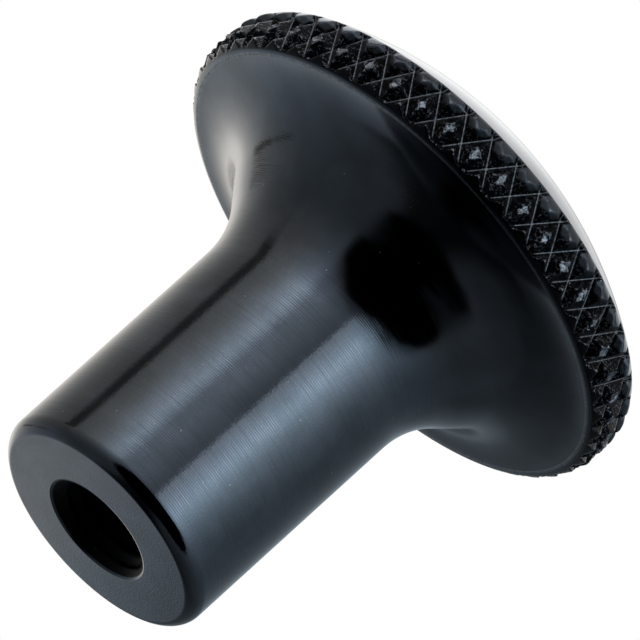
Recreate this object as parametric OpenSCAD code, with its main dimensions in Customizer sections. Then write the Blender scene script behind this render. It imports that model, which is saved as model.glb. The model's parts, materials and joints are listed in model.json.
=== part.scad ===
// Knurled push-pull knob, turned from one bar: a plain stem with a tapped
// hole in its end, a trumpet flare, and a domed head with a diamond knurl
// round its rim.  Millimetres.  The axis is Z, the stem's end face lies on
// z = 0 with the origin at its centre, and the dome points up.

/* [Stem] */
// Diameter of the plain stem
stem_d = 14; // [12:0.1:16]
// Radius that breaks the edge of the stem's end
end_edge_r = 1; // [0.5:0.05:1.5]
// Angle through which that edge turns before the end face cuts it
end_edge_turn = 68; // [45:1:85]

/* [Flare and underside] */
// Height of the head's underside at the lip, above the end face
underside_z = 22.95; // [19:0.05:32]
// Radius of the flare where it leaves the stem
flare_r = 6.5; // [4.5:0.1:8]
// Angle through which that radius turns before the straight cone
flare_turn = 39.5; // [35:0.5:45]
// Radius that carries the cone on to the underside
under_r = 6; // [4.5:0.1:7]
// Slope of the underside at the lip, measured from flat
underside_tilt = 1; // [0:0.5:6]

/* [Head] */
// Diameter of the head over the knurl
head_d = 30; // [27:0.1:34]
// Radius that breaks the lip's lower edge
lip_edge_r = 1; // [0.6:0.05:1.2]
// Height of the straight band between the rounded edges
band_h = 1.15; // [0.5:0.05:4]
// Radius of the rounded edge between the band and the dome
top_edge_r = 1.3; // [0.8:0.1:1.8]
// Radius of the dome
dome_r = 23.6; // [20:0.1:60]

/* [Knurl] */
// Number of grooves each way round the rim
knurl_count = 48; // [36:1:60]
// Angle between a groove and the axis
knurl_angle = 33.7; // [28:0.1:40]
// Depth of the grooves below the diamonds' flat tops
knurl_depth = 0.6; // [0.4:0.02:0.8]
// Share of a diamond's full height that its flat top cuts off
knurl_flat = 0.2; // [0.1:0.05:0.4]
// Height of the lowest whole row of groove crossings above the underside
first_crossing = 1.2; // [0.8:0.05:1.6]
// How far the knurling wheel's upper edge reaches past the straight band
wheel_reach = 0.7; // [0.5:0.05:1.1]
// Bevel on that edge of the wheel, measured from square
wheel_bevel = 30; // [15:5:45]

/* [Tapped hole] */
// Core diameter of the thread
bore_d = 5; // [3:0.1:6.4]
// Depth of the hole at its full diameter
bore_depth = 15; // [8:0.5:17]
// Width of the countersink round the hole's mouth
countersink_w = 0.84; // [0.3:0.02:1.1]
// Full angle of the countersink
countersink_angle = 90; // [60:5:120]
// Full angle of the drill's point
drill_angle = 118; // [90:1:140]

/* [Hidden] */
$fn = 96;
// How far a cutting shape reaches past the surface that it opens
over = 1;

stem_r = stem_d / 2;
head_r = head_d / 2;
bore_r = bore_d / 2;

// The end edge's arc touches the stem at this height.
end_edge_z = end_edge_r * sin(end_edge_turn);

// The flare is an arc, a straight cone and a second arc, each touching the
// next.  An arc's centre lies out from the metal along the normal, whose
// angle from flat is the turn so far.
function out_along(turn, dist) = [dist * cos(turn), -dist * sin(turn)];
under_turn = 90 - underside_tilt;
lip_edge_at = [head_r - lip_edge_r, underside_z + lip_edge_r];
under_end = lip_edge_at + out_along(under_turn, lip_edge_r);
under_at = under_end + out_along(under_turn, under_r);
cone_end = under_at - out_along(flare_turn, under_r);
// The cone is as long as it takes to bring the flare onto the stem, and the
// flare's radius gives way where a small head leaves it too little room.
flare_room = cone_end.x - stem_r;
foot_r = min(flare_r, flare_room / (1 - cos(flare_turn)));
cone_run = flare_room - foot_r * (1 - cos(flare_turn));
flare_end = cone_end - [cone_run, cone_run / tan(flare_turn)];
flare_at = flare_end + out_along(flare_turn, foot_r);

// The rounded top edge touches both the band and the dome.
top_edge_at = [head_r - top_edge_r, lip_edge_at.y + band_h];
dome_in = dome_r - top_edge_r;
dome_at = [0, top_edge_at.y - sqrt(dome_in * dome_in - top_edge_at.x * top_edge_at.x)];
dome_edge = dome_at + (top_edge_at - dome_at) * dome_r / dome_in;

// The knurl is a lattice of rows, one for each height at which grooves cross.
groove_r = head_r - knurl_depth;
apex_r = groove_r + knurl_depth / (1 - knurl_flat);
row_h = PI * groove_r / knurl_count / tan(knurl_angle);
crossing_z = underside_z + first_crossing;
// Enough rows to pass both rounded edges
first_row = -ceil(first_crossing / row_h);
last_row = ceil((dome_edge.y - crossing_z) / row_h);

// Half of the lengthwise section, from the axis out.
module section() {
    difference() {
        // straight outline, with square corners where the arcs go
        polygon([
            [0, 0],
            [stem_r - end_edge_r, 0],
            [stem_r - end_edge_r, end_edge_z],
            [stem_r, end_edge_z],
            [stem_r, flare_at.y],
            [flare_end.x, flare_at.y],
            flare_end,
            cone_end,
            [under_end.x, cone_end.y],
            under_end,
            lip_edge_at,
            [head_r, lip_edge_at.y],
            [head_r, top_edge_at.y],
            dome_edge,
            [0, dome_edge.y]
        ]);
        // flare, below and above the cone
        translate(flare_at) circle(foot_r);
        translate(under_at) circle(under_r);
    }
    // rounded end edge
    intersection() {
        translate([stem_r - end_edge_r, end_edge_z]) circle(end_edge_r);
        square([stem_r, end_edge_z + end_edge_r]);
    }
    // the head's two rounded edges
    translate(lip_edge_at) circle(lip_edge_r);
    translate(top_edge_at) circle(top_edge_r);
    // dome
    intersection() {
        translate(dome_at) circle(dome_r);
        translate([0, dome_edge.y - over]) square([dome_edge.x, dome_r]);
    }
}

module blank() {
    rotate_extrude() section();
}

// Drilled, countersunk hole at the thread's core diameter, open downward.
module tapped_hole() {
    translate([0, 0, -over]) cylinder(r = bore_r, h = bore_depth + over);
    translate([0, 0, bore_depth])
        cylinder(r1 = bore_r, r2 = 0, h = bore_r / tan(drill_angle / 2));
    mouth_r = bore_r + countersink_w;
    flank = tan(countersink_angle / 2);
    translate([0, 0, -over])
        cylinder(r1 = mouth_r + over * flank, r2 = bore_r, h = countersink_w / flank + over);
}

// One point of the lattice.  Crossings and diamond tips take turns along a
// row and from row to row, so every groove runs along the cells' diagonals.
function is_crossing(row, col) = (row + col) % 2 == 0;
function lattice_point(row, col) =
    let (
        r = is_crossing(row, col) ? groove_r : apex_r,
        turn = col * 180 / knurl_count
    )
    [r * cos(turn), r * sin(turn), crossing_z + row * row_h];

// Ring whose inner wall is the whole knurl, with diamonds that come to a point.
module knurl_ring() {
    cols = 2 * knurl_count;
    rows = last_row - first_row;
    wall_r = apex_r + over;
    inner = [
        for (row = [first_row : last_row], col = [0 : cols - 1]) lattice_point(row, col)
    ];
    outer = [
        for (row = [first_row, last_row], col = [0 : cols - 1])
            let (turn = col * 180 / knurl_count)
            [wall_r * cos(turn), wall_r * sin(turn), crossing_z + row * row_h]
    ];
    function next(col) = (col + 1) % cols;
    function in_at(i, col) = i * cols + col;
    function out_at(i, col) = len(inner) + i * cols + col;
    // each cell of the inner wall folds along the diagonal that joins its crossings
    knurl = [
        for (i = [0 : rows - 1], col = [0 : cols - 1])
            let (
                a = in_at(i, col),
                b = in_at(i, next(col)),
                c = in_at(i + 1, next(col)),
                d = in_at(i + 1, col)
            )
            each is_crossing(i + first_row, col) ? [[a, b, c], [a, c, d]] : [[a, b, d], [b, c, d]]
    ];
    ends = [
        for (col = [0 : cols - 1])
            each [
                [out_at(0, col), out_at(0, next(col)), in_at(0, next(col))],
                [out_at(0, col), in_at(0, next(col)), in_at(0, col)],
                [in_at(rows, col), in_at(rows, next(col)), out_at(1, next(col))],
                [in_at(rows, col), out_at(1, next(col)), out_at(1, col)]
            ]
    ];
    wall = [
        for (col = [0 : cols - 1])
            each [
                [out_at(1, col), out_at(1, next(col)), out_at(0, next(col))],
                [out_at(1, col), out_at(0, next(col)), out_at(0, col)]
            ]
    ];
    polyhedron(points = concat(inner, outer), faces = concat(knurl, ends, wall));
}

// The space that the wheel reaches.  Its bevelled upper edge ends the grooves
// on the rounded edge under the dome.  Its lower edge clears the lip, so there
// the grooves run out where the lip curves in past their depth.
module wheel_path() {
    edge_z = top_edge_at.y + wheel_reach;
    inward = over / 2;
    outward = apex_r + over / 2 - groove_r;
    rise = tan(wheel_bevel);
    rotate_extrude()
        polygon([
            [groove_r - inward, underside_z - over / 2],
            [groove_r + outward, underside_z - over / 2],
            [groove_r + outward, edge_z + outward * rise],
            [groove_r - inward, edge_z - inward * rise]
        ]);
}

module knob() {
    color([0.17, 0.18, 0.20])
        difference() {
            blank();
            tapped_hole();
            intersection() {
                knurl_ring();
                wheel_path();
            }
        }
}

knob();
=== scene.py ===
# %% [markdown]
# # A knurled knob of blackened steel
#
# This notebook dresses a small push-pull knob.  A lathe made the real one in one piece: a plain
# stem, a trumpet flare, a domed head, a diamond knurl rolled round the rim and a tapped hole in
# the stem's end.  Then the steel was blackened in a hot salt bath and oiled.
#
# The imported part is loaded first, because it fixes the knob's size and place.  Everything below
# is in its frame: the axis is Z, and the stem's end face stands on z = 0.

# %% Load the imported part
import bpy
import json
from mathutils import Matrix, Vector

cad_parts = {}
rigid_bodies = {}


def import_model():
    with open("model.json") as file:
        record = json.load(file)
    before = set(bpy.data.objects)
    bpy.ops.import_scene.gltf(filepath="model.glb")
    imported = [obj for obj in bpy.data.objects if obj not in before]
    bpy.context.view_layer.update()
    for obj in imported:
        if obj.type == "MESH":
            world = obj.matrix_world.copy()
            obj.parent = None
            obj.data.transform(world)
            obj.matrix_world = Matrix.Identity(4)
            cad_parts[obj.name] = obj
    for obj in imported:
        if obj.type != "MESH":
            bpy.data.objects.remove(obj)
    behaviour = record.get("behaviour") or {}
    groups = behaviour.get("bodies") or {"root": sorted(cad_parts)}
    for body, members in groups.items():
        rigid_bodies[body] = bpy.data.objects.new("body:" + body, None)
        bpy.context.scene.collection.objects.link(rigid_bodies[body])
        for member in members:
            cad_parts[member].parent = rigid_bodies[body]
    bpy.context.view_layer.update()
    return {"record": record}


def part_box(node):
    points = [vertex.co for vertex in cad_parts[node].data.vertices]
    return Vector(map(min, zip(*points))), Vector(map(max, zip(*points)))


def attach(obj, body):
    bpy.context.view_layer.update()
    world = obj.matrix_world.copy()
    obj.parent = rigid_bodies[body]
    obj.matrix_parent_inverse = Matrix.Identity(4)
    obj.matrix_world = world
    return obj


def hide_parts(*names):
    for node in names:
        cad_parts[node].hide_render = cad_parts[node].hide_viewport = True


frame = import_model()

# %% Read its size
import json
import math

import bmesh
import bpy
from mathutils import Matrix, Vector, noise

MM = 0.001
low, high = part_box("knob")
thread_mount = next(m for m in frame["record"]["mounts"] if m["name"] == "thread")
core_r = thread_mount["dims"]["r_mm"]
print(f"knob {(high.x - low.x) / MM:.2f} mm across and {high.z / MM:.2f} mm high")
print(f"thread core {2 * core_r:.1f} mm")

# %% [markdown]
# ## Pens for the outline
#
# A turned part is one outline swept round an axis, so the mesh starts as the lathe tool's path
# from the bottom of the hole to the crown of the dome.  It could be typed in as a list of
# points, but then no radius could be changed.  Three small pens draw it instead: one puts a
# point down, one pulls a straight line, and one turns the last point round a centre, which
# leaves an arc.  They work in millimetres; the finished mesh is scaled to metres at the end.

# %% Pens
def start(bm, x, z):
    return bmesh.ops.create_vert(bm, co=(x, 0, z))["vert"][0]


def line(bm, tip, x, z, steps=1):
    step = (Vector((x, 0, z)) - tip.co) / steps
    for _ in range(steps):
        tip = bmesh.ops.extrude_vert_indiv(bm, verts=[tip])["verts"][0]
        bmesh.ops.translate(bm, verts=[tip], vec=step)
    return tip


def arc(bm, tip, centre, turn, steps):
    """Turns the tip round a centre by so many degrees, from +Z towards +X."""
    spun = bmesh.ops.spin(
        bm,
        geom=[tip],
        cent=(centre[0], 0, centre[1]),
        axis=(0, 1, 0),
        angle=math.radians(turn),
        steps=steps,
    )
    return next(g for g in spun["geom_last"] if isinstance(g, bmesh.types.BMVert))


# %% [markdown]
# ## The turner's sizes
#
# These are the sizes that the turner works to, in millimetres and degrees.  They are the part's
# own, but for a few hundredths of a millimetre that the eye sees in the highlights.  The flare
# is an arc, a straight cone and a second arc, each touching the next, so only the radii and the
# slopes are given, and the centres are worked out from them.

# %% Stem, flare and lip
stem_r = 7.0
end_edge_r = 1.0
end_edge_turn = 68
flare_r = 6.5
flare_turn = 39.5
under_r = 6.0
under_turn = 89
underside_z = 22.92
lip_edge_r = 1.0
blank_r = 15.0


def out_along(turn, length):
    """A step out of the metal, along a normal that points so many degrees below level."""
    angle = math.radians(turn)
    return Vector((length * math.cos(angle), -length * math.sin(angle)))


end_edge_z = end_edge_r * math.sin(math.radians(end_edge_turn))
lip_edge = Vector((blank_r - lip_edge_r, underside_z + lip_edge_r))
under_end = lip_edge + out_along(under_turn, lip_edge_r)
under_centre = under_end + out_along(under_turn, under_r)
cone_end = under_centre - out_along(flare_turn, under_r)
flare_room = cone_end.x - stem_r - flare_r * (1 - math.cos(math.radians(flare_turn)))
flare_end = cone_end - Vector((flare_room, flare_room / math.tan(math.radians(flare_turn))))
flare_centre = flare_end + out_along(flare_turn, flare_r)
print(f"flare from {flare_centre.y:.2f} mm up, cone {(cone_end - flare_end).length:.2f} mm long")

# %% Rim and dome
band_low = 23.5
band_top = 25.1
top_edge_r = 1.3
dome_r = 23.6

top_edge = Vector((blank_r - top_edge_r, band_top))
dome_in = dome_r - top_edge_r
dome_centre = Vector((0, top_edge.y - math.sqrt(dome_in ** 2 - top_edge.x ** 2)))
dome_edge_turn = math.degrees(math.asin(top_edge.x / dome_in))
print(f"knurled band from {band_low} to {band_top} mm, crown at {dome_centre.y + dome_r:.2f} mm")

# %% Tapped hole
bore_depth = 15.0
mouth_r = core_r + 0.82
mouth_edge_r = 0.08
drill_point = core_r / math.tan(math.radians(59))
threaded_depth = 11.0
thread_pitch = 1.0
thread_depth = 0.5
thread_rows = 6
print(f"hole {bore_depth:.0f} mm deep, {2 * mouth_r:.2f} mm wide at its mouth")

# %% [markdown]
# ## The knurl's lattice
#
# Grooves of both hands cross every half pitch round the rim and every row_h along it, so one
# cell of that lattice holds one groove on its diagonal.  The mesh under the knurl is cut into
# whole fractions of a cell.  Every groove then runs along the corners of small squares and stays
# straight, which no mesh cut by other measures could give it.

# %% Lattice sizes
knurl_count = 48
groove_r = 14.43
row_h = 1.42
crossing_z = 24.22
cell_cuts = 16
sub_row = row_h / cell_cuts
first_sub_row = -13
last_sub_row = 21
around = 2 * knurl_count * 2
band_cuts = 2 * knurl_count * cell_cuts // around - 1
print(f"{around} steps round the knob, {around * (band_cuts + 1)} round the knurl")


# %% The rim before the knurl goes on
def blank_radius(z):
    """Radius of the turned rim at a height: rounded lip, straight band, rounded top edge."""
    if z < lip_edge.y:
        return lip_edge.x + math.sqrt(max(lip_edge_r ** 2 - (z - lip_edge.y) ** 2, 0))
    if z <= top_edge.y:
        return blank_r
    return top_edge.x + math.sqrt(max(top_edge_r ** 2 - (z - top_edge.y) ** 2, 0))


print(f"blank radius {blank_radius(24):.2f} mm on the band, {blank_radius(25.9):.2f} mm above it")

# %% [markdown]
# ## Drawing the hole and the end face
#
# The outline starts at the drill's point, comes down the hole and opens into the countersink.
# Where the thread will be, the wall is cut into small steps, because the thread is made later by
# moving its points.  The mouth's corner and the end's edge get small arcs of their own: it is
# those narrow arcs that catch the light.

# %% Draw the hole
mouth_corner = mouth_edge_r * math.tan(math.radians(22.5))
thread_low = mouth_r - core_r
thread_turns = (threaded_depth - thread_low) / thread_pitch
edge_in = mouth_r - mouth_corner * math.cos(math.radians(45))

body = bmesh.new()
tip = start(body, 0, bore_depth + drill_point)
tip = line(body, tip, core_r, bore_depth, 3)
tip = line(body, tip, core_r, threaded_depth, 4)
tip = line(body, tip, core_r, thread_low, round(thread_turns * thread_rows))
tip = line(body, tip, edge_in, mouth_r - edge_in, 8)
tip = arc(body, tip, (mouth_r + mouth_corner, mouth_edge_r), -45, 4)
print(f"hole drawn, {len(body.verts)} points so far")

# %% Draw the end face and its edge
face_r = stem_r - end_edge_r + end_edge_r * math.cos(math.radians(end_edge_turn))
tip = line(body, tip, mouth_r + mouth_corner + 0.08, 0)
tip = line(body, tip, face_r - 0.1, 0, 10)
tip = line(body, tip, face_r, 0)
tip = arc(body, tip, (stem_r - end_edge_r, end_edge_z), -end_edge_turn, 12)
print(f"end face drawn out to {face_r:.2f} mm, {len(body.verts)} points so far")

# %% [markdown]
# ## Drawing the stem, the flare and the head
#
# From the end's edge the outline runs up the stem, along the flare and out under the head.  The
# rim is drawn one lattice step at a time, so that the rows of the mesh fall on the rows of the
# knurl.  Last comes the dome, a single large arc that ends on the axis.

# %% Draw the stem and the flare
tip = line(body, tip, stem_r, flare_centre.y, 8)
tip = arc(body, tip, flare_centre, flare_turn, 20)
tip = line(body, tip, cone_end.x, cone_end.y, 4)
tip = arc(body, tip, under_centre, under_turn - flare_turn, 24)
print(f"flare drawn out to {tip.co.x:.2f} mm, {len(body.verts)} points so far")

# %% Draw the rim
low_z = crossing_z + first_sub_row * sub_row
low_turn = math.degrees(math.asin((lip_edge.y - low_z) / lip_edge_r))
tip = arc(body, tip, lip_edge, low_turn - under_turn, 8)
for row in range(first_sub_row + 1, last_sub_row + 1):
    z = crossing_z + row * sub_row
    tip = line(body, tip, blank_radius(z), z)
print(f"rim drawn up to {tip.co.z:.2f} mm, {len(body.verts)} points so far")

# %% Draw the dome
turned = math.degrees(math.asin((tip.co.z - top_edge.y) / top_edge_r))
tip = arc(body, tip, top_edge, turned + dome_edge_turn - 90, 4)
tip = arc(body, tip, dome_centre, -dome_edge_turn, 24)
print(f"outline of {len(body.verts)} points, ends on the axis at {tip.co.z:.2f} mm")

# %% [markdown]
# ## Spinning the body
#
# One spin turns the outline into the body, as the lathe does.  A full turn lays the last copy on
# the first, and use_merge joins the two; the points on the axis are merged into one, so that
# both poles are closed.  The normals are then worked out afresh, because a spin may leave them
# inside out.

# %% Spin the outline
bmesh.ops.spin(
    body,
    geom=body.verts[:] + body.edges[:],
    cent=(0, 0, 0),
    axis=(0, 0, 1),
    angle=2 * math.pi,
    steps=around,
    use_merge=True,
)
bmesh.ops.remove_doubles(body, verts=body.verts, dist=1e-4)
bmesh.ops.recalc_face_normals(body, faces=body.faces)
print(f"spun body: {len(body.verts)} points, {len(body.faces)} faces")

# %% [markdown]
# ## Room for the knurl
#
# A knurl could be faked with a bump map, but its teeth stand out of the rim and cut its outline.
# So the ring under it is cut finer, and each small square is split along the way that its groove
# runs, or the grooves would look like a row of beads.

# %% Cut the ring finer
ring_low = crossing_z + (first_sub_row - 0.5) * sub_row
ring_high = crossing_z + (last_sub_row + 0.5) * sub_row


def on_ring(v):
    return ring_low < v.co.z < ring_high and v.co.xy.length > groove_r - 0.5


def runs_round(e):
    return abs(e.verts[0].co.z - e.verts[1].co.z) < 0.01


ring_edges = [e for e in body.edges if all(on_ring(v) for v in e.verts) and runs_round(e)]
bmesh.ops.subdivide_edges(body, edges=ring_edges, cuts=band_cuts, use_grid_fill=False)
print(f"{len(ring_edges)} ring edges cut: {len(body.verts)} points, {len(body.faces)} faces")


# %% Places on the lattice
def lattice(co):
    """Where a point lies on the lattice: along the grooves of one hand and of the other."""
    col = math.atan2(co.y, co.x) / math.pi * knurl_count
    row = (co.z - crossing_z) / row_h
    return col + row, col - row


def from_even(value):
    """How far a number lies from the nearest even number, where a groove runs."""
    return abs(value - 2 * round(value / 2))


print("a crossing of grooves lies at", lattice(Vector((blank_r, 0, crossing_z))))


# %% Split the ring's faces along the grooves
whole_turn = 2 * knurl_count
ring_faces = [f for f in body.faces if len(f.verts) == 4 and all(on_ring(v) for v in f.verts)]
for f in ring_faces:
    middle = lattice(f.calc_center_median())
    hand = 0 if from_even(middle[0]) < from_even(middle[1]) else 1
    pair = []
    for v in f.verts:
        # the two corners of the wanted diagonal share one lattice number with the middle
        off = lattice(v.co)[hand] - middle[hand]
        if abs((off + knurl_count) % whole_turn - knurl_count) < 0.25 / cell_cuts:
            pair.append(v)
    if len(pair) == 2:
        bmesh.utils.face_split(f, pair[0], pair[1])
print(f"{len(ring_faces)} ring faces split in two")


# %% [markdown]
# ## The shape of the knurl
#
# Two hard wheels press the knurl in, one for each hand.  A point is pushed down to the groove's
# flank or to the wheels' bevelled edge, whichever is higher, unless the top of its diamond is
# lower still.  The steel that a wheel pushes aside rises in a ragged ridge round each diamond,
# and the middle of the diamond, which no wheel touches, stays a little lower: a crater.  Two
# smooth noises make every diamond differ from the next.

# %% Helpers for soft shapes
def smooth(value, low, high):
    """Goes from 0 at low to 1 at high, without a corner."""
    t = max(0.0, min(1.0, (value - low) / (high - low)))
    return t * t * (3 - 2 * t)


# close together in the bottom of a groove, and again on the ragged ridge round a diamond
cell_steps = [0, .025, .05, .085, .14, .22, .32, .43, .53, .61, .665, .705, .745, .79, .85, .92, 1]


def packed(value):
    """Moves a lattice number so that the mesh is finest in the grooves and on the ridges."""
    even = 2 * round(value / 2)
    step = min(abs(value - even) * cell_cuts, cell_cuts - 1e-6)
    low_step = int(step)
    low_end, high_end = cell_steps[low_step:low_step + 2]
    moved = low_end + (high_end - low_end) * (step - low_step)
    return even + math.copysign(moved, value - even)


print(f"the mesh line at {1 / cell_cuts:.3f} of a cell moves to {packed(1 / cell_cuts):.3f}")


# %% Grooves
apex_rise = 0.79
groove_round = 0.05
wheel_low = 23.2
wheel_high = 25.8
wheel_rise = math.tan(math.radians(60))


def rounded(distance):
    """A V with its bottom rounded off, as the wheel's worn edge leaves it."""
    if distance > groove_round:
        return distance
    return (distance ** 2 + groove_round ** 2) / (2 * groove_round)


def pressed_radius(nearest, z):
    """How deep the wheels reach: down their flanks, and not past their bevelled edges."""
    flank = groove_r + apex_rise * nearest
    below = groove_r + (wheel_low - z) * wheel_rise
    above = groove_r + (z - wheel_high) * wheel_rise
    return max(flank, below, above)


print(f"grooves {blank_r - pressed_radius(0, crossing_z):.2f} mm deep")


# %% Diamonds
ridge_at = 0.68
crater_at = 0.76
ridge_h = 0.03
crater_d = 0.1
rough_per_mm = 3.3
fine_per_mm = 9.0


def diamond_radius(nearest, z, spot, in_band):
    """Top of a diamond: the turned rim, with a ragged ridge and a crater in the band."""
    rough = noise.noise(spot * rough_per_mm)
    fine = noise.noise(spot * fine_per_mm)
    inside = smooth(nearest + 0.28 * rough + 0.1 * fine, ridge_at, crater_at)
    ridge = in_band * (ridge_h + 0.03 * fine) * (1 - inside)
    crater = in_band * inside * (crater_d + 0.03 * rough + 0.015 * fine)
    return blank_radius(z) + ridge - crater


def knurl_radius(along, across, z, spot):
    nearest = min(rounded(from_even(along)), rounded(from_even(across)))
    in_band = smooth(z, band_low, band_low + 0.3)
    in_band *= 1 - smooth(z, band_top - 0.2, band_top - 0.05)
    wheels = pressed_radius(nearest, z)
    top = diamond_radius(nearest, z, spot, in_band)
    # above the band the plates run softly into the flanks
    blend_mm = 0.02 + 0.1 * smooth(z, band_top - 0.1, band_top + 0.2)
    overlap = max(blend_mm - abs(blank_radius(z) - wheels), 0.0) * (1 - in_band)
    return min(top, wheels) - overlap ** 2 / (4 * blend_mm)


middle_r = knurl_radius(1, 1, crossing_z, Vector((blank_r, 0, crossing_z)))
print(f"the middle of a diamond lies {blank_r - middle_r:.2f} mm below the turned rim")


# %% [markdown]
# ## Pressing the knurl in
#
# Each point of the ring moves to its new radius.  Two numbers are kept with it for the finish,
# as attributes of the mesh: how far it lies from the nearest groove, and how deep it was pressed
# below the turned rim.  A material can read them, and they stay with the steel.

# %% Press the knurl
half_pitch = math.pi * groove_r / knurl_count
flank_mm = half_pitch * math.cos(math.atan(half_pitch / row_h))
from_groove = body.verts.layers.float.new("from_groove")
pressed = body.verts.layers.float.new("pressed")
knurl_points = 0
for v in body.verts:
    v[from_groove] = 1.0
    if not on_ring(v):
        continue
    along, across = lattice(v.co)
    # the first and last rows of the ring stay where the body's mesh meets them
    settle = smooth(v.co.z, ring_low + 0.05, wheel_low + 0.1)
    settle *= 1 - smooth(v.co.z, wheel_high + 0.1, ring_high - 0.05)
    along += (packed(along) - along) * settle
    across += (packed(across) - across) * settle
    angle = (along + across) / 2 * math.pi / knurl_count
    z = crossing_z + (along - across) / 2 * row_h
    spot = Vector((math.cos(angle) * blank_r, math.sin(angle) * blank_r, z))
    new_r = knurl_radius(along, across, z, spot)
    v.co = (math.cos(angle) * new_r, math.sin(angle) * new_r, z)
    v[from_groove] = flank_mm * min(from_even(along), from_even(across))
    v[pressed] = blank_radius(z) - new_r
    knurl_points += 1
print(f"knurl pressed into {knurl_points} points, pitch across the grooves {2 * flank_mm:.2f} mm")

# %% [markdown]
# ## The thread
#
# The hole is tapped M6 with a pitch of 1 mm.  A tap leaves one helical groove whose flanks meet
# at about 60 degrees.  A separate coil could be cut out with a Boolean, but only the first turns
# show, so each point of the wall moves out by where it lies along the helix, and the mesh stays
# closed.

# %% Cut the thread
# shares of the pitch, counted from the middle of a crest
half_crest = 0.08
flank_share = 0.34

thread_points = 0
for v in body.verts:
    r = v.co.xy.length
    in_hole = v.co.z > 0.02 and core_r - 0.01 < r < mouth_r - 0.02
    if not in_hole or v.co.z >= threaded_depth - 0.01:
        continue
    turn = math.atan2(v.co.y, v.co.x) / (2 * math.pi)
    phase = (v.co.z / thread_pitch - turn) % 1.0
    from_crest = 0.5 - abs(phase - 0.5)
    cut = max(0.0, min(1.0, (from_crest - half_crest) / flank_share))
    fade = min(1.0, (threaded_depth - v.co.z) / thread_pitch)
    new_r = max(r, core_r + thread_depth * cut * fade)
    v.co.x *= new_r / r
    v.co.y *= new_r / r
    thread_points += 1
print(f"thread cut into {thread_points} points")

# %% [markdown]
# ## The end face
#
# A facing tool that bends a little under the cut leaves the face a hair proud in the middle.
# Eight hundredths of a millimetre can't be felt, but a flat mirror would show one tone all over,
# and this face goes from light to dark.

# %% Crown the end face
face_crown = 0.08
crown_r = 6.37

for v in body.verts:
    r = v.co.xy.length
    if abs(v.co.z) < 1e-4 and mouth_r < r < stem_r - 0.5:
        v.co.z = -face_crown * (1 - (r / crown_r) ** 2)
print(f"end face crowned by {face_crown} mm")


# %% [markdown]
# ## One piece
#
# The finished mesh becomes one object. Its faces are shaded smooth, and it is scaled from
# millimetres to metres in the mesh itself, so that the object needs no scale of its own.

# %% Make the object
def put(name, data):
    made = bpy.data.objects.new(name, data)
    bpy.context.scene.collection.objects.link(made)
    return made


for f in body.faces:
    f.smooth = True
bmesh.ops.scale(body, vec=(MM, MM, MM), verts=body.verts)
knob_mesh = bpy.data.meshes.new("knob_turned")
body.to_mesh(knob_mesh)
body.free()
knob = put("knob_turned", knob_mesh)
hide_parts("knob")
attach(knob, "root")
knob_mesh.calc_loop_triangles()
print(f"knob: {len(knob_mesh.vertices)} points, {len(knob_mesh.loop_triangles)} triangles")

# %% [markdown]
# ## Colours and nodes
#
# A colour is written as it is seen, in hex, and one function turns it into the linear light
# that a shader works with.  A second function adds any node with its settings and links, so a
# material reads as a list of steps.  Two settings come back so often that they get names: a
# soft ramp, which goes from one value to another without a corner, and a mix of colours.

# %% Colour and node helpers
def srgb(text):
    parts = [int(text[i:i + 2], 16) / 255 for i in (1, 3, 5)]
    return [p / 12.92 if p <= 0.04045 else ((p + 0.055) / 1.055) ** 2.4 for p in parts] + [1.0]


def add(tree, kind, feeds=(), **settings):
    """Adds a node.  A feed is a value, a node's output, or a node, for its first output."""
    made = tree.nodes.new("ShaderNode" + kind)
    for name, value in settings.items():
        setattr(made, name, value)
    for key, feed in feeds.items() if isinstance(feeds, dict) else enumerate(feeds):
        if isinstance(feed, bpy.types.Node):
            feed = feed.outputs[0]
        if isinstance(feed, bpy.types.NodeSocket):
            tree.links.new(feed, made.inputs[key])
        else:
            made.inputs[key].default_value = feed
    return made


def new_tree(name):
    material = bpy.data.materials.new(name)
    material.use_nodes = True
    material.node_tree.nodes.clear()
    return material, material.node_tree


soft = {"interpolation_type": "SMOOTHSTEP"}
colours = {"data_type": "RGBA"}
print("steel as seen #53595f, linear", [round(part, 3) for part in srgb("#53595f")])

# %% [markdown]
# ## Soft limits
#
# A mask is a number from 0 to 1 that says how much of something there is at a place.  Most masks
# fade out beyond some height or distance, so one helper multiplies a mask by any number of soft
# limits.  A limit is a value, where its change starts and ends, and, where they aren't 0 and 1,
# what the mask is multiplied by before and after.

# %% Helper for soft limits
def within(tree, mask, *limits):
    for limit in limits:
        share = add(tree, "MapRange", limit, **soft)
        mask = add(tree, "Math", (mask, share), operation="MULTIPLY")
    return mask


# %% [markdown]
# ## Blackened steel: where things are
#
# The real metal is plain carbon steel, turned on a lathe and then boiled in a hot salt bath,
# which grows a black oxide a thousandth of a millimetre thick, and oiled.  To the eye it is
# still a metal: a dark, slightly blue mirror, dull only where the surface was torn or rolled.
#
# Every pattern on it goes round the axis or along the outline, so the material first works out
# how far a point is from the axis, how high it is, and how far along the outline, all in
# millimetres from Object coordinates.  The two attributes say where the knurl is.

# %% Places on the knob
blackened_steel, tree = new_tree("blackened_steel")
place = add(tree, "TexCoord").outputs["Object"]
mm = add(tree, "VectorMath", {0: place, "Scale": 1 / MM}, operation="SCALE")
x, y, up = add(tree, "SeparateXYZ", (mm,)).outputs
x_squared = add(tree, "Math", (x, x), operation="MULTIPLY")
y_squared = add(tree, "Math", (y, y), operation="MULTIPLY")
out_squared = add(tree, "Math", (x_squared, y_squared), operation="ADD")
out = add(tree, "Math", (out_squared,), operation="SQRT")
path = add(tree, "Math", (out, up), operation="ADD")
groove = add(tree, "Attribute", attribute_name="from_groove").outputs["Fac"]
depth = add(tree, "Attribute", attribute_name="pressed").outputs["Fac"]
print(f"{len(tree.nodes)} nodes find a place on the knob")

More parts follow.
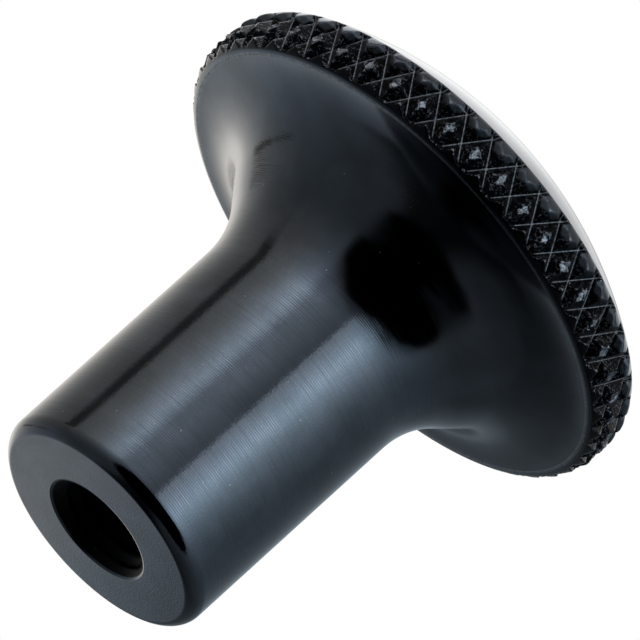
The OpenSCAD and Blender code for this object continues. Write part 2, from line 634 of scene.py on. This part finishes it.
# %% [markdown]
# ## Blackened steel: turning marks
#
# A finishing cut leaves one fine ridge for each turn of the work, and scratches where a chip
# went round with it.  Both are long round the axis and narrow along the outline.  The feed of a
# finishing cut is about 0.1 mm; it is drawn at 0.14 mm, because finer ridges are lost in the
# render.  The etched grain under the oxide is finer still, and is drawn eight to a millimetre so
# that it shows.  The marks are deepest on the stem; the end face and the head were cut finer.

# %% Scratches, clouds and grain
scratch_breaks = 2.5
scratches_per_mm = 8.0
clouds_per_mm = 0.45
grains_per_mm = 8.0

from_axis = add(tree, "Math", (out, 0.001), operation="ADD")
round_x = add(tree, "Math", (x, from_axis), operation="DIVIDE")
round_y = add(tree, "Math", (y, from_axis), operation="DIVIDE")
scratch_x = add(tree, "Math", (round_x, scratch_breaks), operation="MULTIPLY")
scratch_y = add(tree, "Math", (round_y, scratch_breaks), operation="MULTIPLY")
scratch_path = add(tree, "Math", (path, scratches_per_mm), operation="MULTIPLY")
scratch_place = add(tree, "CombineXYZ", (scratch_x, scratch_y, scratch_path))
scratches = add(tree, "TexNoise", {
    "Vector": scratch_place, "Scale": 1.0, "Detail": 1.0, "Roughness": 0.6,
})
cloudy = add(tree, "TexNoise", {"Vector": mm, "Scale": clouds_per_mm, "Detail": 3.0})
grain = add(tree, "TexNoise", {
    "Vector": mm, "Scale": grains_per_mm, "Detail": 1.5, "Roughness": 0.6,
})
print(f"scratches {1 / scratches_per_mm} mm apart, clouds {1 / clouds_per_mm:.1f} mm wide")

# %% Height of the marks
feed_mm = 0.14
scratch_mm = 0.005
grain_mm = 0.004

turns = add(tree, "Math", (path, 2 * math.pi / feed_mm), operation="MULTIPLY")
ridges = add(tree, "Math", (turns,), operation="SINE")
ridge_height = add(tree, "MapRange", (cloudy, 0.35, 0.65, 0.0006, 0.0014), **soft)
ridges = add(tree, "Math", (ridges, ridge_height), operation="MULTIPLY")
scratch_height = add(tree, "Math", (scratches, scratch_mm), operation="MULTIPLY")
height = add(tree, "Math", (ridges, scratch_height), operation="ADD")
less_on_the_end = (up, 0.3, 1.5, 0.12, 1.0)
less_on_the_head = (up, 20.0, 20.8, 1.0, 0.3)
height = within(tree, height, less_on_the_end, less_on_the_head)
grain_height = add(tree, "Math", (grain, grain_mm), operation="MULTIPLY")
height = add(tree, "Math", (height, grain_height), operation="ADD")
print(f"turning marks every {feed_mm} mm, {len(tree.nodes)} nodes so far")

# %% [markdown]
# ## Blackened steel: the knurl
#
# Rolling tears the surface and leaves the flanks duller.  Their near-black colour is painted
# shade, standing for the shade and double reflection between the teeth.  A thin line along the
# bottom of each groove is painted lighter, a painted highlight, and the craters on the diamonds
# keep the turned surface, lighter and ragged at its edge.  Small lighter spots on the flanks are
# painted glints of curls and burrs of torn metal.  Each of these is a mask made of the distance to
# the groove, the height, and two noises that fray its edge, one about as wide as a torn flake and
# one as wide as a few of them.

# %% Torn metal and craters
flakes_per_mm = 7.0
waves_per_mm = 2.3

torn = add(tree, "TexNoise", {
    "Vector": mm, "Scale": flakes_per_mm, "Detail": 4.0, "Roughness": 0.7,
})
wave = add(tree, "TexNoise", {
    "Vector": mm, "Scale": waves_per_mm, "Detail": 2.0, "Roughness": 0.6,
})
wave_off = add(tree, "Math", (wave, 0.5), operation="SUBTRACT")
torn_off = add(tree, "Math", (torn, 0.5), operation="SUBTRACT")
wave_share = add(tree, "Math", (wave_off, 0.6), operation="MULTIPLY")
torn_share = add(tree, "Math", (torn_off, 0.4), operation="MULTIPLY")
ragged = add(tree, "Math", (groove, wave_share), operation="ADD")
ragged = add(tree, "Math", (ragged, torn_share), operation="ADD")
crater = add(tree, "MapRange", (ragged, 0.55, 0.59), **soft)
below_top_edge = (up, band_top - 0.15, band_top - 0.05, 1.0, 0.0)
above_lip = (up, band_low, band_low + 0.2)
crater = within(tree, crater, below_top_edge, above_lip)
print(f"flakes {1 / flakes_per_mm:.2f} mm wide, {len(tree.nodes)} nodes so far")

# %% Flanks and groove lines, the lines a painted highlight
rolled = add(tree, "MapRange", (depth, 0.005, 0.03), **soft)
not_crater = add(tree, "Math", (1.0, crater), operation="SUBTRACT")
flank = add(tree, "Math", (rolled, not_crater), operation="MULTIPLY")
# a thin line along each groove's bottom is painted lighter: a painted highlight, also a little
# duller
groove_highlight = add(tree, "MapRange", (groove, 0.025, 0.05, 1.0, 0.0), **soft)
groove_highlight = add(tree, "Math", (groove_highlight, rolled), operation="MULTIPLY")
patchy = (torn, 0.35, 0.55, 0.3, 1.0)
clear_of_lip = (up, band_low - 0.22, band_low)
groove_highlight = within(tree, groove_highlight, patchy, clear_of_lip)
# these lines are painted highlights along the groove bottoms
print("burnished lines up to 0.1 mm wide")

# %% Curls and burrs, painted glints
wave_size = add(tree, "Math", (wave_off,), operation="ABSOLUTE")
curl = add(tree, "MapRange", (wave_size, 0.012, 0.03, 0.6, 0.0), **soft)
curl = within(tree, curl, (torn, 0.45, 0.55))
burr = add(tree, "MapRange", (groove, 0.3, 0.34), **soft)
burr_from = (up, band_low - 0.12, band_low - 0.06)
burr_to = (up, band_low + 0.06, band_low + 0.12, 1.0, 0.0)
broken = (torn, 0.48, 0.54)
burr = within(tree, burr, burr_from, burr_to, broken)
most_torn = add(tree, "MapRange", (torn, 0.66, 0.7), **soft)
bits = add(tree, "Math", (most_torn, burr), operation="MAXIMUM")
bits = add(tree, "Math", (bits, curl), operation="MAXIMUM")
print(f"knurl masks made, {len(tree.nodes)} nodes so far")

# %% [markdown]
# ## Blackened steel: lip, hole and dust
#
# Just above the lip a thin pale line is painted along its edge, a painted highlight; there the
# steel is also duller.  The lip's rounding is painted darker, a painted shade.  The tapped hole is
# painted near-black, a painted shade of the deep hole, and it is rougher.  Dust settles on oiled
# steel: a Voronoi pattern scatters it, with one speck in about every fifth cell, each of its own
# width.

# %% Lip
lip_r = lip_edge.x
lip_line = add(tree, "MapRange", (out, lip_r, lip_r + 0.1), **soft)
lip_line = within(tree, lip_line, (out, lip_r + 0.22, lip_r + 0.3, 1.0, 0.0))
underneath = add(tree, "Math", (up, band_low - 0.2), operation="LESS_THAN")
lip_line = add(tree, "Math", (lip_line, underneath), operation="MULTIPLY")
# the pale line along the lip's edge is a painted highlight
painted_lip_line = within(tree, lip_line, (torn, 0.35, 0.6, 0.1, 0.6))
# the lip's rounding is painted darker: painted shade
painted_lip_shade = add(tree, "MapRange", (out, lip_r + 0.35, lip_r + 0.5), **soft)
painted_lip_shade = within(tree, painted_lip_shade, (up, band_low, band_low + 0.15, 1.0, 0.0))
print(f"pale line from {lip_r:.1f} to {lip_r + 0.3:.1f} mm off the axis")

# %% Hole
# the hole is painted near-black: painted shade of the deep hole; it is also rougher
in_hole = add(tree, "MapRange", (out, mouth_r - 0.03, mouth_r + 0.02, 1.0, 0.0), **soft)
in_hole = within(tree, in_hole, (up, 0.0, 0.06))
below_dome = add(tree, "Math", (up, bore_depth + 3), operation="LESS_THAN")
in_hole = add(tree, "Math", (in_hole, below_dome), operation="MULTIPLY")
print(f"hole oiled up to {bore_depth + 3:.0f} mm")

# %% Dust
dust_cells_per_mm = 1.6
dusty_cells = 0.22

cells = add(tree, "TexVoronoi", {"Vector": mm, "Scale": dust_cells_per_mm})
chance = add(tree, "SeparateColor", (cells.outputs["Color"],)).outputs
speck_wide = add(tree, "MapRange", (chance[1], 0.0, 1.0, 0.03, 0.1), **soft)
torn_edge = add(tree, "Math", (torn, 0.05), operation="MULTIPLY")
from_speck = add(tree, "Math", (cells.outputs["Distance"], torn_edge), operation="ADD")
speck = add(tree, "Math", (from_speck, speck_wide), operation="LESS_THAN")
has_speck = add(tree, "Math", (chance[0], 1 - dusty_cells), operation="GREATER_THAN")
speck = add(tree, "Math", (speck, has_speck), operation="MULTIPLY")
print(f"dust in {dusty_cells:.0%} of cells {1 / dust_cells_per_mm} mm wide")

# %% [markdown]
# ## Blackened steel: colour, gloss and relief
#
# The colour starts as the oxide's own, a little cloudy, and each mask lays one more coat on it.
# A metal's colour is what it reflects straight on, so the hex values are far lighter than the
# knob looks: most of what it shows is its dark surroundings.  The gloss is a mirror's with a
# fine grain, and every torn, rolled, oily or dusty place is duller.

# %% Shares of the coats
streaks = add(tree, "MapRange", (scratches, 0.3, 0.5, 0.2, 0.0), **soft)
streaks = within(tree, streaks, (up, 17.5, 21.0, 1.0, 0.2))
light_grain = add(tree, "MapRange", (grain, 0.6, 0.8, 0.0, 0.15), **soft)
# near the top edge most of the flanks' painted shade is taken off again
upper_plate = add(tree, "MapRange", (up, band_top, band_top + 0.2), **soft)
upper_plate = within(tree, upper_plate, (groove, 0.12, 0.22))
plate_share = add(tree, "Math", (upper_plate, 0.8), operation="MULTIPLY")
not_plate = add(tree, "Math", (1.0, plate_share), operation="SUBTRACT")
# the flanks are painted near-black: painted shade between the teeth
painted_flank_shade = add(tree, "Math", (flank, not_plate), operation="MULTIPLY")
# lighter spots on the flanks: painted glints
painted_glints = add(tree, "Math", (painted_flank_shade, bits), operation="MULTIPLY")
crater_coat = add(tree, "Math", (crater, rolled), operation="MULTIPLY")
crater_torn = add(tree, "MapRange", (torn, 0.36, 0.5), **soft)
crater_shades = {0: crater_torn, 6: srgb("#3a3e43"), 7: srgb("#7f858d")}
crater_colour = add(tree, "Mix", crater_shades, **colours).outputs[2]
dusty = add(tree, "Math", (speck, 0.6), operation="MULTIPLY")
print(f"{len(tree.nodes)} nodes before the coats")

# %% Colour, coat by coat
clouds = add(tree, "MapRange", (cloudy, 0.35, 0.65), **soft)
oxide_shades = {0: clouds, 6: srgb("#53595f"), 7: srgb("#5a6068")}
colour = add(tree, "Mix", oxide_shades, **colours).outputs[2]
# painted shade: the lip rounding, flank and hole coats; painted highlights: the lip line, glint
# and groove line coats
coats = (
    (streaks, srgb("#40454b")),
    (light_grain, srgb("#8d939b")),
    (painted_lip_line, srgb("#a0a9b1")),
    (painted_lip_shade, srgb("#24272b")),
    (painted_flank_shade, srgb("#101215")),
    (painted_glints, srgb("#8b9199")),
    (crater_coat, crater_colour),
    (groove_highlight, srgb("#83898f")),
    (in_hole, srgb("#131416")),
    (dusty, srgb("#a0a5ab")),
)
for share, coat in coats:
    colour = add(tree, "Mix", {0: share, 6: colour, 7: coat}, **colours).outputs[2]
print(f"{len(coats)} coats on the oxide")

# %% Gloss
gloss = add(tree, "MapRange", (grain, 0.3, 0.7, 0.07, 0.11), **soft)
dull_places = (
    (flank, 0.25),
    (lip_line, 0.35),
    (groove_highlight, 0.1),
    (in_hole, 0.4),
    (speck, 0.3),
)
for mask, dulled in dull_places:
    duller = add(tree, "Math", (mask, dulled), operation="MULTIPLY")
    gloss = add(tree, "Math", (gloss, duller), operation="ADD")
print(f"{len(dull_places)} places are duller than the turned steel")

# %% Relief and the metal itself
flake_mm = 0.03
torn_flank = add(tree, "Math", (torn, rolled), operation="MULTIPLY")
torn_height = add(tree, "Math", (torn_flank, flake_mm), operation="MULTIPLY")
height = add(tree, "Math", (height, torn_height), operation="ADD")
relief = add(tree, "Bump", {"Height": height, "Distance": MM, "Strength": 1.0})
metal = add(tree, "BsdfPrincipled", {
    "Base Color": colour,
    "Metallic": 1.0,
    "Roughness": gloss,
    "Normal": relief,
})
add(tree, "OutputMaterial", {"Surface": metal})
knob_mesh.materials.append(blackened_steel)
print(f"blackened steel: {len(tree.nodes)} nodes")

# %% [markdown]
# ## Camera
#
# The knob hangs head up, and the camera looks up at it from below, near enough level with the
# hole to look into it.  It stands almost a metre away with a long lens, so that the circles at
# both ends keep the same shape, and it is rolled so that the knob is seen at a slant.
# All directions from here on are counted from the side of the knob that faces the camera.

# %% Camera
near_side = -88.61
look_up = 23.904
roll = 47.915
distance = 882.16
aim = Vector((-0.325, -0.008, 17.686))


def direction(azimuth, elevation):
    """Unit vector; azimuth is counted from the side of the knob that faces the camera."""
    a = math.radians(near_side + azimuth)
    e = math.radians(elevation)
    return Vector((math.cos(a) * math.cos(e), math.sin(a) * math.cos(e), math.sin(e)))


camera_data = bpy.data.cameras.new("camera")
camera_data.sensor_width = 36
camera_data.lens = 929.7
camera_data.clip_start = 0.05
camera_data.clip_end = 20
camera = put("camera", camera_data)
bpy.context.scene.camera = camera
towards = direction(0, -look_up)
rolled_by = Matrix.Rotation(math.radians(roll), 4, "Z").to_quaternion()
camera.rotation_mode = "QUATERNION"
camera.rotation_quaternion = (-towards).to_track_quat("-Z", "Y") @ rolled_by
camera.location = (aim + towards * distance) * MM
print(f"camera {distance} mm off, {look_up} degrees below the knob")

# %% [markdown]
# ## Floor
#
# The floor is a plain pale disc under the knob.  The camera is lower than the floor, so its
# paint is on the upper side only, and from below it is clear; otherwise it would hide the knob.

# %% Floor
def add_stage(name, bm):
    mesh = bpy.data.meshes.new(name)
    bm.to_mesh(mesh)
    bm.free()
    made = put(name, mesh)
    return made


floor_paint, floor_tree = new_tree("floor_paint")
matt = add(floor_tree, "BsdfDiffuse", {"Color": srgb("#e9e9e7")})
clear = add(floor_tree, "BsdfTransparent")
from_below = add(floor_tree, "NewGeometry").outputs["Backfacing"]
either = add(floor_tree, "MixShader", (from_below, matt, clear))
add(floor_tree, "OutputMaterial", {"Surface": either})

floor_bm = bmesh.new()
bmesh.ops.create_circle(floor_bm, cap_ends=True, segments=64, radius=3.0)
floor = add_stage("floor", floor_bm)
floor.data.materials.append(floor_paint)
floor.visible_glossy = False
floor.visible_shadow = False
print("floor faces", tuple(floor.data.polygons[0].normal))

# %% [markdown]
# ## The light tent
#
# A shiny dark part shows nothing but its surroundings, so it is lit in a tent of white cloth
# with the lamps outside.  Here the tent is a sphere that only reflections can see.  Its cloth
# glows, and each thing in it is given by the direction in which it is seen from the knob,
# azimuth and elevation in degrees: lamps behind the cloth, a bright back wall, a dark ground,
# two seams, and the opening in front.  The helpers below make one of each.

# %% Directions in the tent
tent_cloth, tree = new_tree("tent_cloth")
place = add(tree, "TexCoord").outputs["Object"]
looks = add(tree, "VectorMath", (place,), operation="NORMALIZE")
turned_looks = add(tree, "Mapping", {
    "Vector": looks, "Rotation": (0, 0, math.radians(-near_side)),
})
ahead, aside, upward = add(tree, "SeparateXYZ", (turned_looks,)).outputs
azimuth = add(tree, "Math", (aside, ahead), operation="ARCTAN2")
azimuth = add(tree, "Math", (azimuth,), operation="DEGREES")
elevation = add(tree, "Math", (upward,), operation="ARCSINE")
elevation = add(tree, "Math", (elevation,), operation="DEGREES")
# azimuth again, but counted from straight behind the knob
behind = add(tree, "Math", (azimuth, 180.0), operation="SUBTRACT")
behind = add(tree, "Math", (behind, 180.0, -180.0), operation="WRAP")


def angle_from(towards):
    """Angle in degrees between a place on the cloth and a fixed direction."""
    dot = add(tree, "VectorMath", (looks, towards), operation="DOT_PRODUCT").outputs["Value"]
    angle = add(tree, "Math", (dot,), operation="ARCCOSINE")
    return add(tree, "Math", (angle,), operation="DEGREES")


print(f"{len(tree.nodes)} nodes find a direction in the tent")

# %% A lamp behind the cloth
level_angle = add(tree, "Math", (elevation,), operation="RADIANS")
narrowing = add(tree, "Math", (level_angle,), operation="COSINE")


def lamp_glow(centre, strength, spread):
    """Brightest at its centre, fading by its own spread sideways and upwards."""
    off = add(tree, "Math", (azimuth, centre[0]), operation="SUBTRACT")
    off = add(tree, "Math", (off, 180.0, -180.0), operation="WRAP")
    off = add(tree, "Math", (off, narrowing), operation="MULTIPLY")
    off = add(tree, "Math", (off, spread[0]), operation="DIVIDE")
    off_squared = add(tree, "Math", (off, off), operation="MULTIPLY")
    above = add(tree, "Math", (elevation, centre[1]), operation="SUBTRACT")
    above = add(tree, "Math", (above, spread[1]), operation="DIVIDE")
    above_squared = add(tree, "Math", (above, above), operation="MULTIPLY")
    away = add(tree, "Math", (off_squared, above_squared), operation="ADD")
    away = add(tree, "Math", (away,), operation="SQRT")
    fading = add(tree, "Math", (away, -1.0), operation="MULTIPLY")
    glow = add(tree, "Math", (fading,), operation="EXPONENT")
    return add(tree, "Math", (glow, strength), operation="MULTIPLY")


# %% A seam in the cloth
def seam(first, last, width):
    """0 along the straight way from one direction to another, and 1 away from it."""
    a = direction(*first)
    b = direction(*last)
    side = a.cross(b).normalized()
    across = add(tree, "VectorMath", (looks, side), operation="DOT_PRODUCT").outputs["Value"]
    off = add(tree, "Math", (across,), operation="ABSOLUTE")
    off = add(tree, "Math", (off,), operation="DEGREES")
    beside = add(tree, "MapRange", (off, width * 0.4, width), **soft)
    half = math.degrees(a.angle(b)) / 2
    from_middle = angle_from((a + b).normalized())
    past_end = add(tree, "MapRange", (from_middle, half * 0.7, half * 1.1), **soft)
    return add(tree, "Math", (beside, past_end), operation="MAXIMUM")


# %% [markdown]
# ### Lamps and walls
#
# Two softboxes stand in front on the left and on the right, with hot centres; each makes one of
# the two bright bands along the stem.  The left one falls to a third where the cloth is doubled,
# and both end sharply at their frames.  Bright cloth behind the knob on the left lights its
# limb, and a bright back wall shows at the dome's edge.

# %% The two softboxes
left = lamp_glow((-26, 42), 5.6, (16.5, 19))
doubled_cloth = (azimuth, -40, -24, 1.0, 0.33)
left_frame = (azimuth, -88, -84)
left = within(tree, left, doubled_cloth, left_frame)
right = lamp_glow((36, 31), 3.5, (16, 21))
right_frame = (azimuth, 10.5, 14)
right = within(tree, right, right_frame)
softboxes = add(tree, "Math", (left, right), operation="ADD")
top_frames = (elevation, 28, 46, 1.0, 0.2)
softboxes = within(tree, softboxes, top_frames)
print(f"two softboxes, {len(tree.nodes)} nodes so far")

# %% The cloth beside and behind the knob
back_left = within(tree, lamp_glow((-162, 4), 1.4, (24, 28)), (behind, -3.5, 1.5))
back_right = within(tree, lamp_glow((180, 23), 0.3, (30, 4)), (azimuth, 60, 90))
low_back = lamp_glow((-176, -24), 0.18, (10, 12))
side_glow = lamp_glow((-110, 38), 0.17, (45, 14))
print(f"four patches of bright cloth, {len(tree.nodes)} nodes so far")

# %% The bright top of the back wall
wall = lamp_glow((-125, 46), 1.0, (18, 14))
wall = add(tree, "Math", (wall, 0.75), operation="ADD")
wall_from = (behind, -72, -55)
wall_to = (behind, 75, 90, 1.0, 0.0)
wall_foot = (elevation, 27, 38)
wall = within(tree, wall, wall_from, wall_to, wall_foot)
print(f"back wall, {len(tree.nodes)} nodes so far")

# %% Light of the whole cloth
light = add(tree, "MapRange", (elevation, -65, 15, 0.06, 0.19), **soft)
for patch in (side_glow, back_left, back_right, low_back, softboxes, wall):
    light = add(tree, "Math", (light, patch), operation="ADD")
# overhead the cloth is even
light = within(tree, light, (elevation, 48, 66, 1.0, 0.0))
overhead = add(tree, "MapRange", (elevation, 48, 66, 0.0, 0.4), **soft)
light = add(tree, "Math", (light, overhead), operation="ADD")
print(f"lamps and walls: {len(tree.nodes)} nodes")

# %% [markdown]
# ### Shade, seams and the opening
#
# The rest takes light away.  Low down behind on the right the cloth hangs in its own shade, and
# the ground under the knob is dark.  One seam runs up from the waist of the tent on the left and
# draws the thin dark line along the stem; a short one behind it shows on the flare.  The opening
# is two overlapping discs, and it makes the black patch where the stem meets the flare.

# %% Shade
off_shade = add(tree, "Math", (azimuth, 150.0), operation="SUBTRACT")
off_shade = add(tree, "Math", (off_shade,), operation="ABSOLUTE")
lit = add(tree, "MapRange", (off_shade, 12, 32), **soft)
above_shade = add(tree, "MapRange", (elevation, -8, 6), **soft)
lit = add(tree, "Math", (lit, above_shade), operation="MAXIMUM")
light = within(tree, light, (lit, 0, 1, 0.75, 1.0))
print(f"with the shade: {len(tree.nodes)} nodes")

# %% Ground
beside_knob = add(tree, "Math", (aside,), operation="ABSOLUTE")
beside_knob = add(tree, "MapRange", (beside_knob, 0.08, 0.4), **soft)
above_ground = add(tree, "MapRange", (elevation, -60, -48), **soft)
off_ground = add(tree, "Math", (beside_knob, above_ground), operation="MAXIMUM")
light = within(tree, light, (off_ground, 0, 1, 0.15, 1.0))
print(f"with the ground: {len(tree.nodes)} nodes")

# %% Seams
off_seam = add(tree, "Math", (azimuth, 90.0), operation="ADD")
off_seam = add(tree, "Math", (off_seam,), operation="ABSOLUTE")
off_seam = add(tree, "MapRange", (off_seam, 5.2, 6.6), **soft)
below_seam = add(tree, "MapRange", (elevation, 3, 15, 1.0, 0.0), **soft)
off_seam = add(tree, "Math", (off_seam, below_seam), operation="MAXIMUM")
light = within(tree, light, (off_seam, 0, 1, 0.3, 1.0))
seam_width = 2.0
short_seam = (((-145, -1), (-131, -17), 0.3), ((-131, -17), (-121, -30), 0.5))
for first, last, left_over in short_seam:
    light = within(tree, light, (seam(first, last, seam_width), 0, 1, left_over, 1.0))
print(f"with the seams: {len(tree.nodes)} nodes")

# %% The opening in front
for centre, reach in (((39, -26.5), 29.5), ((9, -30), 36.5)):
    from_centre = angle_from(direction(*centre))
    light = within(tree, light, (from_centre, reach - 2, reach + 4))
print(f"with the opening: {len(tree.nodes)} nodes")

# %% [markdown]
# ### Colour of the light
#
# Far round to the left the light is faintly warm, and towards the right it turns cooler, as
# where a lamp meets daylight.  Low down it is faintly blue, and high up it is white.

# %% Tint, cloth and sphere
tint = srgb("#fffaf2")
tints = (
    ((azimuth, -75, -35), "#eef6ff"),
    ((azimuth, 10, 30), "#e1f3ff"),
    ((elevation, -40, 0, 1.0, 0.0), "#ebf5fd"),
    ((elevation, 24, 34), "#ffffff"),
)
for where, near_white in tints:
    share = add(tree, "MapRange", where, **soft)
    tint = add(tree, "Mix", {0: share, 6: tint, 7: srgb(near_white)}, **colours).outputs[2]
cloth = add(tree, "Emission", {"Color": tint, "Strength": light})
add(tree, "OutputMaterial", {"Surface": cloth})
tent_cloth.cycles.emission_sampling = "NONE"

tent_bm = bmesh.new()
bmesh.ops.create_icosphere(tent_bm, subdivisions=5, radius=1.0)
tent = add_stage("tent", tent_bm)
tent.data.materials.append(tent_cloth)
tent.visible_camera = False
tent.visible_diffuse = False
tent.visible_shadow = False
print(f"tent: {len(tree.nodes)} nodes, {len(tent.data.polygons)} faces")

# %% [markdown]
# ## World and softboxes
#
# The background is white to the camera and to mirrors, and a little dimmer as a light, so that
# the pale floor keeps its tone.  Two plain square softboxes give the floor its soft shadow; no
# reflection sees them, because the tent already shows their glow.

# %% World
world = bpy.data.worlds.new("world")
bpy.context.scene.world = world
world.use_nodes = True
world_tree = world.node_tree
world_tree.nodes.clear()
ray = add(world_tree, "LightPath").outputs
seen = add(world_tree, "Math", (ray["Is Camera Ray"], ray["Is Glossy Ray"]), operation="MAXIMUM")
seen = add(world_tree, "Math", (seen, ray["Is Transmission Ray"]), operation="MAXIMUM")
level = add(world_tree, "MapRange", {"Value": seen, "To Min": 0.7, "To Max": 1.0})
sky = add(world_tree, "Background", {"Color": srgb("#ffffff"), "Strength": level})
add(world_tree, "OutputWorld", {"Surface": sky})
world.cycles.sampling_method = "NONE"
print(f"world: {len(world_tree.nodes)} nodes")


# %% Softboxes
def softbox(name, azimuth, elevation, away, size, power):
    lamp = bpy.data.lights.new(name, "AREA")
    lamp.shape = "SQUARE"
    lamp.size = size
    lamp.energy = power
    made = put(name, lamp)
    outwards = direction(azimuth, elevation)
    made.location = outwards * away
    made.rotation_mode = "QUATERNION"
    made.rotation_quaternion = outwards.to_track_quat("Z", "Y")
    made.visible_camera = False
    made.visible_glossy = False
    print(f"{name}: {size} m square, {away} m off, {power} W")


softbox("softbox_left", -38, 40, 0.7, 0.4, 2.0)
softbox("softbox_right", 37, 40, 0.7, 0.4, 2.0)

# %% [markdown]
# ## Last steps
#
# The Standard view shows a colour as it is written.

# %% Finish
bpy.context.scene.view_settings.view_transform = "Standard"
